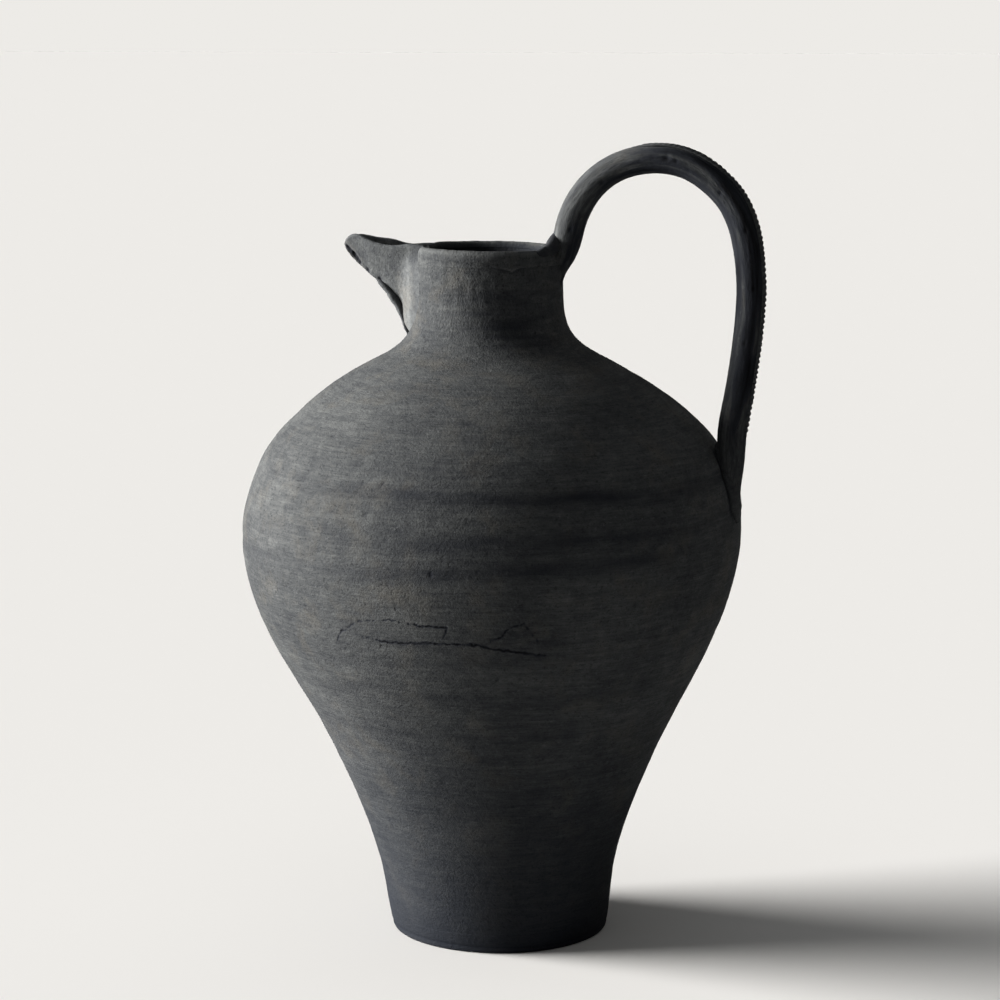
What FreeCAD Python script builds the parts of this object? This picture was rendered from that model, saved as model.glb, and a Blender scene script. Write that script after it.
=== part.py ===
import FreeCAD, Part
import math
import os
import Sketcher

# Hand-built black clay pitcher: a round belly on a narrow foot, a short neck, a folded pouring
# spout on the -X side and a tall bail-like handle on the +X side.
# Frame: millimetres, +Z up, origin at the centre of the foot, on the surface that it stands on.
# The walls are courses of clay, each set on the one below along a bevelled joint.

SIZES = {
    # Courses: height and outer radius at each joint, and the wall's lean from the vertical there
    "wall": 5.5,
    "bevel": 5.0,
    "foot_radius": 54.7,
    "foot_edge": 1.2,
    "foot_flare": 0.24,
    "base_z": 10.0,
    "base_radius": 56.3,
    "base_lean": 8.0,
    "floor_thick": 8.0,
    "waist_z": 92.0,
    "waist_radius": 80.9,
    "waist_lean": 24.0,
    "flank_z": 125.0,
    "flank_radius": 97.7,
    "flank_lean": 29.0,
    "belly_z": 172.0,
    "belly_radius": 120.1,
    "belly_lean": 20.0,
    "widest_z": 207.0,
    "widest_radius": 126.1,
    "widest_lean": 0.0,
    "shoulder_z": 262.0,
    "shoulder_radius": 102.5,
    "shoulder_lean": -46.0,
    "neck_z": 292.0,
    "neck_radius": 60.0,
    "neck_lean": -62.0,
    "collar_z": 318.0,
    "collar_radius": 36.8,
    "collar_lean": -8.0,
    "rim_z": 341.0,
    "rim_radius": 36.8,
    "rim_lean": 0.0,
    "lip_z": 347.2,
    "lip_radius": 36.6,
    "lip_lean": 0.0,
    "lip_arc": 2.9,
    # Radii of the arcs between those heights
    "lower_arc": 304.0,
    "waist_arc": 480.0,
    "flank_arc": 250.0,
    "belly_arc": 105.0,
    "widest_arc": 74.6,
    "shoulder_arc": 205.0,
    "neck_arc": 33.0,
    # Handle: a rod along arcs from the rim, over its crown and down to the shoulder
    "rod_radius": 6.9,
    "rod_rise": 46.6,
    "crown_x": 82.0,
    "crown_z": 392.0,
    "haunch_x": 113.7,
    "haunch_z": 377.4,
    "back_x": 128.3,
    "back_z": 333.0,
    "shank_x": 121.3,
    "shank_z": 268.0,
    "heel_x": 117.0,
    "heel_z": 222.0,
    # Notched strip along the handle's back
    "strip_half_width": 1.6,
    "strip_depth": 2.4,
    "strip_proud": 1.1,
    "strip_start_x": 58.0,
    "strip_end_z": 252.0,
    "strip_margin": 28.0,
    # Clay pressed round the handle's two ends
    "heel_pad_x": 118.5,
    "heel_pad_z": 238.0,
    "heel_pad_length": 24.0,
    "heel_pad_width": 12.5,
    "heel_pad_thick": 8.0,
    "heel_pad_tilt": -14.0,
    "neck_pad_x": 34.5,
    "neck_pad_z": 339.0,
    "neck_pad_length": 15.0,
    "neck_pad_width": 11.0,
    "neck_pad_thick": 7.5,
    "neck_pad_tilt": 0.0,
    "rim_wad_x": 29.5,
    "rim_wad_z": 349.0,
    "rim_wad_length": 6.5,
    "rim_wad_width": 8.0,
    "rim_wad_thick": 5.0,
    "rim_wad_tilt": 0.0,
    # Spout: four sections of a folded channel, from inside the neck out to the tip
    "root_x": -30.0,
    "root_top": 350.0,
    "root_keel": 301.0,
    "root_half": 15.0,
    "root_sole": 4.0,
    "mid_x": -50.0,
    "mid_top": 352.5,
    "mid_keel": 323.0,
    "mid_half": 11.2,
    "mid_sole": 3.4,
    "nose_x": -66.0,
    "nose_top": 355.2,
    "nose_keel": 338.0,
    "nose_half": 7.6,
    "nose_sole": 3.0,
    "tip_x": -75.5,
    "tip_top": 352.0,
    "tip_keel": 347.0,
    "tip_half": 4.6,
    "tip_sole": 2.4,
    "spout_wall": 3.6,
    "throat_x": -20.0,
    "channel_sole": 0.8,
    "channel_floor": 5.2,
    "channel_end_x": -73.0,
    "channel_top": 362.0,
    # Strip of clay pressed along the fold under the spout
    "keel_low_x": -41.0,
    "keel_low_z": 303.0,
    "keel_high_x": -58.5,
    "keel_high_z": 329.5,
    "keel_depth": 7.0,
    "keel_width": 6.4,
}

# The number that a sketch gives to the centre of an arc or circle
CENTRE = 3
# First estimates of the radii of the handle's arcs: their tangent constraints settle them
HAUNCH_RADIUS, BACK_RADIUS, SHANK_RADIUS, HEEL_RADIUS = 41, 61, 610, 380
MM3_PER_CM3 = 1000

doc = FreeCAD.newDocument("pitcher")
sheet = doc.addObject("Spreadsheet::Sheet", "Sizes")
for row, (alias, value) in enumerate(SIZES.items(), start=1):
    sheet.set(f"A{row}", alias)
    sheet.set(f"B{row}", str(value))
    sheet.setAlias(f"B{row}", alias)
doc.recompute()


class Size:
    """A length or an angle: its value now, and the sheet expression that drives it."""

    def __init__(self, value, text):
        self.value = value
        self.text = text

    def join(self, sign, other, value):
        return Size(value, f"({self.text} {sign} {as_size(other).text})")

    def __add__(self, other):
        return self.join("+", other, self.value + as_size(other).value)

    def __sub__(self, other):
        return self.join("-", other, self.value - as_size(other).value)

    def __mul__(self, other):
        return self.join("*", other, self.value * as_size(other).value)

    def cos(self):
        return Size(math.cos(math.radians(self.value)), f"cos({self.text})")

    def sin(self):
        return Size(math.sin(math.radians(self.value)), f"sin({self.text})")


def as_size(number):
    return number if isinstance(number, Size) else Size(float(number), f"({float(number)})")


def cell(alias):
    return Size(float(sheet.get(alias)), f"Sizes.{alias}")


def outer_point(name):
    """Where the wall's outer face passes a named height."""
    return cell(name + "_radius"), cell(name + "_z")


def inner_point(name, shift=0):
    """The same place on the inner face, slid up the wall by shift."""
    lean = cell(name + "_lean")
    wall = cell("wall")
    radius = cell(name + "_radius") - wall * lean.cos() + lean.sin() * shift
    height = cell(name + "_z") + wall * lean.sin() + lean.cos() * shift
    return radius, height


def origin_plane(body, role):
    return next(f for f in body.Origin.OriginFeatures if f.Role == role)


def add_sketch(body, name, plane, lift=None):
    """A sketch on one of the body's own origin planes, raised off it by lift."""
    sketch = body.newObject("Sketcher::SketchObject", name)
    sketch.AttachmentSupport = (origin_plane(body, plane), "")
    sketch.MapMode = "FlatFace"
    if lift is not None:
        sketch.AttachmentOffset.Base = FreeCAD.Vector(0, 0, lift.value)
        sketch.setExpression("AttachmentOffset.Base.z", lift.text)
    return sketch


def drive(sketch, constraint, size):
    """Add a dimension to the sketch and let the sheet drive it."""
    index = sketch.addConstraint(constraint)
    sketch.setExpression(f"Constraints[{index}]", size.text)


def pin_point(sketch, edge, end, point):
    """Fix one end of an edge by its distances from the sketch's origin."""
    for kind, size in zip(("DistanceX", "DistanceY"), point):
        drive(sketch, Sketcher.Constraint(kind, -1, 1, edge, end, size.value), size)


def arc_through(start, end, radius, side):
    """An arc between two points; side is +1 where it bulges to the right of start to end."""
    a = FreeCAD.Vector(start[0].value, start[1].value, 0)
    b = FreeCAD.Vector(end[0].value, end[1].value, 0)
    chord = b - a
    left = FreeCAD.Vector(-chord.y, chord.x, 0).normalize()
    drop = math.sqrt(radius ** 2 - (chord.Length / 2) ** 2)
    centre = (a + b) / 2 + left * (drop * side)
    middle = centre - left * (radius * side)
    return Part.Arc(a, middle, b)


def add_outline(sketch, points, arcs=None):
    """A closed outline through the points.

    arcs maps an edge's number to its radius and side, and every other edge is straight.
    An arc in a sketch runs anticlockwise, so one that bulges to the left has its ends swapped.
    """
    arcs = arcs or {}
    ends = []
    for edge, start in enumerate(points):
        end = points[(edge + 1) % len(points)]
        if edge in arcs:
            radius, side = arcs[edge]
            sketch.addGeometry(arc_through(start, end, radius.value, side))
            drive(sketch, Sketcher.Constraint("Radius", edge, radius.value), radius)
            ends.append((1, 2) if side > 0 else (2, 1))
        else:
            a = FreeCAD.Vector(start[0].value, start[1].value, 0)
            b = FreeCAD.Vector(end[0].value, end[1].value, 0)
            sketch.addGeometry(Part.LineSegment(a, b))
            ends.append((1, 2))
    for edge, point in enumerate(points):
        previous = (edge - 1) % len(points)
        joint = Sketcher.Constraint("Coincident", previous, ends[previous][1], edge, ends[edge][0])
        sketch.addConstraint(joint)
        pin_point(sketch, edge, ends[edge][0], point)


def turned_body(name, points, arcs=None):
    """A body turned about Z from its outline in the XZ plane."""
    body = doc.addObject("PartDesign::Body", name)
    sketch = add_sketch(body, name + "_outline", "XZ_Plane")
    add_outline(sketch, points, arcs)
    turn = body.newObject("PartDesign::Revolution", name + "_turned")
    turn.Profile = sketch
    turn.ReferenceAxis = (sketch, ["V_Axis"])
    turn.Angle = 360
    return body


def course_outline(stations, arcs, low_shift, high_shift):
    """Outer face up, over the top joint, and the inner face down to the bottom joint.

    arcs holds a (radius, side) for each stretch between stations, or None where it is straight.
    The inner face is parallel to the outer, so its radius is smaller by the wall where the arc
    bulges outwards.
    """
    wall = cell("wall")
    points = [outer_point(name) for name in stations]
    shifts = [low_shift] + [0] * (len(stations) - 2) + [high_shift]
    for name, shift in reversed(list(zip(stations, shifts))):
        points.append(inner_point(name, shift))
    edges = {}
    count = len(arcs)
    for index, bend in enumerate(arcs):
        if bend:
            radius, side = bend
            edges[index] = (radius, side)
            edges[2 * count - index] = (radius - wall * side, -side)
    return points, edges


def arc(alias, side):
    return cell(alias + "_arc"), side


def make_base():
    """Flat disc: the floor of the pot, with the foot's slightly rounded edge."""
    zero = as_size(0)
    edge = cell("foot_edge")
    foot = cell("foot_radius")
    joint = inner_point("base", cell("bevel"))
    points = [
        (zero, zero),
        (foot - edge, zero),
        (foot + cell("foot_flare"), edge),
        outer_point("base"),
        joint,
        (joint[0] - joint[1] + cell("floor_thick"), cell("floor_thick")),
        (zero, cell("floor_thick")),
    ]
    return turned_body("base_disc", points)


def make_course(name, stations, arcs):
    points, edges = course_outline(stations, arcs, cell("bevel"), cell("bevel"))
    return turned_body(name, points, edges)


def make_core():
    """The upper pot as if it were filled: it trims what is pressed onto the outside."""
    zero = as_size(0)
    stations = ["belly", "widest", "shoulder", "neck", "collar", "rim", "lip"]
    points = [(zero, cell("belly_z"))]
    points += [outer_point(name) for name in stations]
    points.append((zero, cell("lip_z")))
    edges = {1: arc("belly", 1), 2: arc("widest", 1), 3: arc("shoulder", 1), 4: arc("neck", -1)}
    return turned_body("filled_pot", points, edges)


def make_rim():
    """Rounded lip coil on top of the neck."""
    lip_out = outer_point("lip")
    lip_in = inner_point("lip")
    points = [outer_point("rim"), lip_out, lip_in, inner_point("rim", cell("bevel"))]
    return turned_body("rim_round", points, {1: arc("lip", 1)})


def section_points(name):
    """Half a trapezoid each side of the fold: narrow sole below, open top above."""
    half = cell(name + "_half")
    sole = cell(name + "_sole")
    top = cell(name + "_top")
    keel = cell(name + "_keel")
    return [(sole * -1, keel), (sole, keel), (half, top), (half * -1, top)]


def channel_points(name):
    """The hollow inside one section of the spout, running up past its top."""
    half = cell(name + "_half") - cell("spout_wall")
    sole = cell("channel_sole")
    floor_z = cell(name + "_keel") + cell("channel_floor")
    ceiling = cell("channel_top")
    top = cell(name + "_top")
    return [(sole * -1, floor_z), (sole, floor_z), (half, top), (half, ceiling),
            (half * -1, ceiling), (half * -1, top)]


def lofted_body(name, sections):
    """A body lofted in straight runs through sections square to X."""
    body = doc.addObject("PartDesign::Body", name)
    sketches = []
    for index, (offset, points) in enumerate(sections):
        sketch = add_sketch(body, f"{name}_section_{index}", "YZ_Plane", offset)
        add_outline(sketch, points)
        sketches.append(sketch)
    loft = body.newObject("PartDesign::AdditiveLoft", name + "_loft")
    loft.Profile = sketches[0]
    loft.Sections = sketches[1:]
    loft.Ruled = True
    return body


def make_spout_block():
    names = ["root", "mid", "nose", "tip"]
    return lofted_body("spout_block", [(cell(n + "_x"), section_points(n)) for n in names])


def make_spout_channel():
    """The hollow of the spout, from inside the neck to a blunt end short of the tip."""
    places = [("root", "throat_x"), ("mid", "mid_x"), ("nose", "nose_x"), ("tip", "channel_end_x")]
    return lofted_body("spout_hollow", [(cell(place), channel_points(n)) for n, place in places])


def cut(name, base, tool):
    """Base without tool, as an object of the document."""
    result = doc.addObject("Part::Cut", name)
    result.Base = base
    result.Tool = tool
    return result


def cut_all(name, base, tools):
    """Base without each of the tools in turn."""
    result = base
    for count, tool in enumerate(tools, start=1):
        result = cut(f"{name}_{count}", result, tool)
    return result


def common(name, base, tool):
    """What base and tool share, as an object of the document."""
    result = doc.addObject("Part::Common", name)
    result.Base = base
    result.Tool = tool
    return result


def make_keel_bar():
    """Bar under the fold of the spout, before it is trimmed to the spout and the neck."""
    body = doc.addObject("PartDesign::Body", "keel_bar")
    sketch = add_sketch(body, "keel_bar_side", "XZ_Plane")
    low = (cell("keel_low_x"), cell("keel_low_z"))
    high = (cell("keel_high_x"), cell("keel_high_z"))
    depth = cell("keel_depth")
    points = [low, (low[0] + depth, low[1] + depth), (high[0] + depth, high[1] + depth), high]
    add_outline(sketch, points)
    pad = body.newObject("PartDesign::Pad", "keel_bar_pad")
    pad.Profile = sketch
    pad.Midplane = True
    pad.setExpression("Length", "Sizes.keel_width")
    return body


def add_handle_path(body):
    """Five arcs, each tangent to the next, from above the rim over the crown to the heel."""
    path = add_sketch(body, body.Name + "_path", "XZ_Plane")
    rise = cell("rod_rise")
    points = [(cell("crown_x") - rise, cell("crown_z") - rise)]
    points += [(cell(n + "_x"), cell(n + "_z")) for n in ("crown", "haunch", "back", "shank", "heel")]
    bends = [(rise.value, -1), (HAUNCH_RADIUS, -1), (BACK_RADIUS, -1), (SHANK_RADIUS, -1), (HEEL_RADIUS, 1)]
    ends = []
    for edge, (radius, side) in enumerate(bends):
        path.addGeometry(arc_through(points[edge], points[edge + 1], radius, side))
        ends.append((1, 2) if side > 0 else (2, 1))
    for edge in range(1, len(bends)):
        before = ends[edge - 1][1]
        path.addConstraint(Sketcher.Constraint("Tangent", edge - 1, before, edge, ends[edge][0]))
    pin_point(path, 0, ends[0][0], points[0])
    for edge, point in enumerate(points[1:]):
        pin_point(path, edge, ends[edge][1], point)
    path.addConstraint(Sketcher.Constraint("Vertical", 0, CENTRE, 0, ends[0][1]))
    return path, [f"Edge{n + 1}" for n in range(len(bends))], points[0]


def sweep_bar(name):
    """A body with the handle's path, and an empty sketch across the path's start to fill in."""
    body = doc.addObject("PartDesign::Body", name)
    path, edges, start = add_handle_path(body)
    section = add_sketch(body, name + "_section", "XY_Plane", start[1])
    sweep = body.newObject("PartDesign::AdditivePipe", name + "_sweep")
    sweep.Profile = section
    sweep.Spine = (path, edges)
    return body, section, start[0]


def make_rod_bar():
    """The handle's round rod."""
    body, section, middle = sweep_bar("handle_bar")
    radius = cell("rod_radius")
    up = FreeCAD.Vector(0, 0, 1)
    section.addGeometry(Part.Circle(FreeCAD.Vector(middle.value, 0, 0), up, radius.value))
    drive(section, Sketcher.Constraint("Radius", 0, radius.value), radius)
    pin_point(section, 0, CENTRE, (middle, as_size(0)))
    return body


def make_strip_bar():
    """The flat strip along the rod's back, sunk into the rod by its depth less what stands proud."""
    body, section, middle = sweep_bar("strip_bar")
    back = middle - cell("rod_radius") - cell("strip_proud")
    front = back + cell("strip_depth")
    side = cell("strip_half_width")
    add_outline(section, [(back, side * -1), (front, side * -1), (front, side), (back, side)])
    return body


def make_strip_reach():
    """Box that holds the stretch of the handle's back that the notched strip covers."""
    box = doc.addObject("Part::Box", "strip_reach")
    box.setExpression("Length", "Sizes.back_x + Sizes.strip_margin - Sizes.strip_start_x")
    box.setExpression("Width", "2 * Sizes.strip_margin")
    box.setExpression("Height", "Sizes.crown_z + Sizes.strip_margin - Sizes.strip_end_z")
    box.setExpression("Placement.Base.x", "Sizes.strip_start_x")
    box.setExpression("Placement.Base.y", "-Sizes.strip_margin")
    box.setExpression("Placement.Base.z", "Sizes.strip_end_z")
    return box


def pressed_clay(name, alias):
    """A lump of clay in the handle's plane: an ellipsoid leaning by its tilt from the vertical."""
    lump = doc.addObject("Part::Ellipsoid", name)
    lump.setExpression("Radius1", f"Sizes.{alias}_length")
    lump.setExpression("Radius2", f"Sizes.{alias}_thick")
    lump.setExpression("Radius3", f"Sizes.{alias}_width")
    lump.Placement.Rotation = FreeCAD.Rotation(FreeCAD.Vector(0, 1, 0), cell(alias + "_tilt").value)
    lump.setExpression("Placement.Rotation.Angle", f"Sizes.{alias}_tilt")
    lump.setExpression("Placement.Base.x", f"Sizes.{alias}_x")
    lump.setExpression("Placement.Base.z", f"Sizes.{alias}_z")
    return lump


def make_walls():
    """The courses from the foot to the shoulder, each on the joint of the one below."""
    return {
        "base_disc": make_base(),
        "lower_wall": make_course("lower_course", ["base", "waist"], [arc("lower", -1)]),
        "waist_wall": make_course("waist_course", ["waist", "flank"], [arc("waist", -1)]),
        "flank_wall": make_course("flank_course", ["flank", "belly"], [arc("flank", 1)]),
        "belly_wall": make_course("belly_course", ["belly", "widest"], [arc("belly", 1)]),
        "upper_belly_wall": make_course("widest_course", ["widest", "shoulder"], [arc("widest", 1)]),
        "shoulder_wall": make_course("shoulder_course", ["shoulder", "neck"], [arc("shoulder", 1)]),
    }


def make_neck_and_spout(core, rim):
    """Collar and lip with the throat cut through them, the spout, and the strip under its fold."""
    collar = make_course("collar_course", ["neck", "collar", "rim"], [arc("neck", -1), None])
    block = make_spout_block()
    channel = make_spout_channel()
    return {
        "neck_collar": cut("collar_opened", collar, channel),
        "rim_coil": cut("rim_opened", rim, channel),
        "spout": cut_all("spout_trimmed", block, [channel, core, rim]),
        "spout_keel_strip": cut_all("keel_trimmed", make_keel_bar(), [block, core]),
    }


def make_handle_parts(core, rim):
    """The rod, the notched strip on its back, and the clay pressed round its two ends."""
    rod = make_rod_bar()
    strip = common("strip_length", make_strip_bar(), make_strip_reach())
    heel_pad = pressed_clay("heel_lump", "heel_pad")
    neck_pad = pressed_clay("neck_lump", "neck_pad")
    wad = pressed_clay("corner_lump", "rim_wad")
    return {
        "handle_rod": cut_all("handle_trimmed", rod, [core, rim]),
        "handle_notched_strip": cut("strip_trimmed", strip, rod),
        "handle_heel_pad": cut_all("heel_pad_trimmed", heel_pad, [rod, core]),
        "handle_neck_pad": cut_all("neck_pad_trimmed", neck_pad, [rod, core, rim]),
        "handle_rim_wad": cut_all("rim_wad_trimmed", wad, [rod, core, rim, neck_pad]),
    }


def check_and_export(parts):
    """Stop on any failed object or unsound shape, then write each sub-part to its own file."""
    for label, part in parts.items():
        part.Label = label
    doc.recompute()
    failed = [o.Name for o in doc.Objects if "Invalid" in o.State or "Error" in o.State]
    if failed:
        raise RuntimeError(f"failed objects: {failed}")
    for part in parts.values():
        shape = part.Shape
        if shape.isNull() or not shape.isValid() or len(shape.Solids) != 1:
            raise RuntimeError(f"{part.Label} is not one sound solid")
    os.makedirs("parts", exist_ok=True)
    for part in parts.values():
        part.Shape.exportStep(f"parts/{part.Label}.step")
        print(f"{part.Label}: {part.Shape.Volume / MM3_PER_CM3:.1f} cm3")


filled_pot = make_core()
lip_ring = make_rim()
sub_parts = make_walls()
sub_parts.update(make_neck_and_spout(filled_pot, lip_ring))
sub_parts.update(make_handle_parts(filled_pot, lip_ring))
check_and_export(sub_parts)
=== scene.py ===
import math
from types import SimpleNamespace

import bpy
import numpy as np
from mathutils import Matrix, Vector


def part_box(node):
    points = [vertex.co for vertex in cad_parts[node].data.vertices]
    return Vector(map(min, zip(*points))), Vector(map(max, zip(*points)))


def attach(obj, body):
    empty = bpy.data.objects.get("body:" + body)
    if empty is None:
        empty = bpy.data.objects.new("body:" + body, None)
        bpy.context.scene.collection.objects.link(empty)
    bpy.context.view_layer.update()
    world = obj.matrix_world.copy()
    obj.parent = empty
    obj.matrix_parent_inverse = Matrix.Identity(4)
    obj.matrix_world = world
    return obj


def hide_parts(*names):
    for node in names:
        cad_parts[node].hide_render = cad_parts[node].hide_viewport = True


# A hand-built black clay pitcher: courses of clay on a narrow foot, a short neck, a folded spout and a
# tall looped handle. Meshes are worked out in millimetres, in the frame's own axes, and made in metres.
# Angles round the pot start at the front (-Y) and grow towards the handle (+X), at +90 degrees.

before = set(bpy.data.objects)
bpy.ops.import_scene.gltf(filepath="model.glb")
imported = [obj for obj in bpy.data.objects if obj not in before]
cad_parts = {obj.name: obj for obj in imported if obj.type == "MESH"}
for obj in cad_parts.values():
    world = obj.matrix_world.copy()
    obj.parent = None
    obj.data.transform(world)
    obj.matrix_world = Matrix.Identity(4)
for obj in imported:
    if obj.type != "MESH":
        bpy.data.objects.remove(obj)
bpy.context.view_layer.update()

MM = 0.001
COARSE = 1.0
SPOUT_ANGLE = math.radians(-90)
HANDLE_ANGLE = math.radians(90)
# The photograph looks at the pot from this far round towards the handle. Where its eye is, in mm.
VIEW = math.radians(13.5)
EYE_ASIDE, EYE_AWAY, EYE_HEIGHT = 2.5, 1499.3, 461.0
# How far below the level it looks
EYE_DIP = math.radians(9.1)


# ---- places from the frame

def low(node):
    return np.array(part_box(node)[0]) / MM


def high(node):
    return np.array(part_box(node)[1]) / MM


BASE_Z, BASE_R = low("lower_wall")[2], high("base_disc")[0]
WAIST_Z, WAIST_R = low("waist_wall")[2], high("lower_wall")[0]
FLANK_Z, FLANK_R = low("flank_wall")[2], high("waist_wall")[0]
BELLY_Z, BELLY_R = low("belly_wall")[2], high("flank_wall")[0]
WIDEST_Z, WIDEST_R = low("upper_belly_wall")[2], high("belly_wall")[0]
SHOULDER_Z, SHOULDER_R = high("upper_belly_wall")[2], high("shoulder_wall")[0]
NECK_Z, NECK_R = high("shoulder_wall")[2], high("neck_collar")[0]
RIM_Z, RIM_R = low("rim_coil")[2], high("rim_coil")[0]
LIP_Z = high("rim_coil")[2]
ROD_R = high("handle_rod")[1]
# How thick the wall is, and how much further up a bevelled joint is inside than outside
WALL, BEVEL = 5.5, 5.0
# Edges that turn more than this are left sharp
CREASE = math.radians(50)
# How much darker the clay is inside the pot: painted shade
INSIDE_SHADE = 0.25


# ---- numbers

def natural_spline(knots, values):
    """A function giving the smooth curve through values at the knots. values may have columns."""
    knots = np.asarray(knots, float)
    values = np.asarray(values, float).reshape(len(knots), -1)
    step = np.diff(knots)[:, None]
    slope = np.diff(values, axis=0) / step
    matrix = np.eye(len(knots))
    target = np.zeros_like(values)
    for i in range(1, len(knots) - 1):
        matrix[i, i - 1:i + 2] = step[i - 1, 0], 2 * (step[i - 1, 0] + step[i, 0]), step[i, 0]
        target[i] = 6 * (slope[i] - slope[i - 1])
    bend = np.linalg.solve(matrix, target)

    def curve(at):
        at = np.asarray(at, float)
        flat = at.ravel()
        i = np.clip(np.searchsorted(knots, flat) - 1, 0, len(step) - 1)
        h = step[i]
        a = (flat - knots[i])[:, None]
        b = (knots[i + 1] - flat)[:, None]
        result = (bend[i] * b ** 3 + bend[i + 1] * a ** 3) / (6 * h)
        result += (values[i] / h - bend[i] * h / 6) * b + (values[i + 1] / h - bend[i + 1] * h / 6) * a
        result = result.reshape(at.shape + (-1,))
        return result.squeeze(-1) if values.shape[1] == 1 else result
    return curve


def noise(points, cell, seed):
    """Smooth noise between -1 and 1 whose features are about one cell long, per axis."""
    size = 32
    table = np.random.default_rng(seed).uniform(-1, 1, (size, size, size))
    grid = np.asarray(points) / cell
    base = np.floor(grid).astype(int)
    part = grid - base
    part = part * part * (3 - 2 * part)
    total = np.zeros(grid.shape[:-1])
    for corner in np.ndindex(2, 2, 2):
        index = (base + corner) % size
        weight = np.prod(np.where(corner, part, 1 - part), axis=-1)
        total += weight * table[index[..., 0], index[..., 1], index[..., 2]]
    return total


def smooth_step(low_edge, high_edge, value):
    """0 up to low_edge, 1 from high_edge, smooth between them. A high_edge below low_edge turns it round."""
    t = np.clip((value - low_edge) / (high_edge - low_edge), 0, 1)
    return t * t * (3 - 2 * t)


def bump(value, centre, width):
    """1 at the centre, falling smoothly to almost nothing two widths away."""
    return np.exp(-((value - centre) / width) ** 2)


def spaced(start, end, cell):
    """Evenly spaced numbers from start to end, about one cell apart."""
    return np.linspace(start, end, max(2, int(round(abs(end - start) / (cell * COARSE))) + 1))


def read_off(at, table):
    """Values at places, read between a table's rows of place and value."""
    return np.interp(at, *zip(*table))


def signed_turn(angle):
    """An angle between half a turn back and half a turn on."""
    return (angle + math.pi) % (2 * math.pi) - math.pi


def ahead_of(angle):
    """Angles round the pot from the side that the photograph shows."""
    return signed_turn(angle - VIEW)


def round_axis(angle, radius, up, lean=0):
    """Points at an angle and a radius round the pot's axis, which stands lean mm towards the handle."""
    rows = radius * np.sin(angle) + lean, -radius * np.cos(angle), up
    return np.stack(np.broadcast_arrays(*rows), -1)


def turned(path):
    """Rows of x, z and sizes, as they show in the photograph's view, carried to the handle's plane."""
    path = np.array(path, float)
    x, z = path[:, 0].copy(), path[:, 1].copy()
    reach = x
    for _ in range(5):
        share = 1 - reach * math.sin(VIEW) / EYE_AWAY
        reach = (EYE_ASIDE + share * (x - EYE_ASIDE)) / math.cos(VIEW)
    path[:, 0], path[:, 1] = reach, EYE_HEIGHT + share * (z - EYE_HEIGHT)
    return path


# ---- meshes

def closed_faces(rows, columns, wrap_rows):
    """Quads over a grid whose columns close on themselves, and whose rows may."""
    i = np.arange(rows if wrap_rows else rows - 1)[:, None]
    j = np.arange(columns)[None, :]
    up, across = (i + 1) % rows, (j + 1) % columns
    quads = [i * columns + j, i * columns + across, up * columns + across, up * columns + j]
    return np.stack([np.broadcast_to(q, (len(i), columns)) for q in quads], -1).reshape(-1, 4)


def cap_faces(rows, columns):
    """Triangles to the first and the last ring from their middle points, which follow the rings."""
    j = np.arange(columns)
    across = (j + 1) % columns
    top = (rows - 1) * columns
    first = np.stack([np.full(columns, rows * columns), across, j], -1)
    last = np.stack([np.full(columns, rows * columns + 1), top + j, top + across], -1)
    return np.concatenate([first, last])


def folded_cap_faces(rows, columns):
    """Quads that close the two ends of a folded sheet: its outside joined to its inside along the fold."""
    half = columns // 2
    i = np.arange(-(half // 2), half // 2)
    outer, outer_next, inner_next, inner = (at % columns for at in (i, i + 1, half - i - 1, half - i))
    first = np.stack([outer_next, outer, inner, inner_next], -1)
    last = np.stack([outer, outer_next, inner_next, inner], -1) + (rows - 1) * columns
    return np.concatenate([first, last])


def ring_piece(rings, flow, tone, wrap=False, folded=False):
    """A closed piece from rings of points in mm: joined end to end, or capped at its two ends.

    flow and tone are what its clay reads at each point. folded means that each ring is the section of a
    folded sheet: outside, over its edge, inside and back.
    """
    rows, columns = rings.shape[:2]
    faces = [closed_faces(rows, columns, wrap)]
    points, flow, tone = (grid.reshape(rows * columns, *grid.shape[2:]) for grid in (rings, flow, tone))
    if folded:
        faces.append(folded_cap_faces(rows, columns))
    elif not wrap:
        faces.append(cap_faces(rows, columns))
        ends = [slice(columns), slice(-columns, None)]
        points, flow, tone = (
            np.concatenate([values, *(values[end].mean(0, keepdims=True) for end in ends)])
            for values in (points, flow, tone))
    triangles = np.concatenate([f[:, k] for f in faces for k in ([0, 1, 2], [0, 2, 3])[:f.shape[1] - 2]])
    a, b, c = (points[triangles[:, k]] for k in range(3))
    # A negative volume means that the faces are inside out
    if np.einsum("ij,ij->i", a, np.cross(b, c)).sum() < 0:
        faces = [f[:, ::-1] for f in faces]
    return SimpleNamespace(points=points, faces=faces, flow=flow, tone=tone, normals=None)


def placed(name, data):
    """A new object in the scene."""
    made = bpy.data.objects.new(name, data)
    bpy.context.scene.collection.objects.link(made)
    return made


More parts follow.
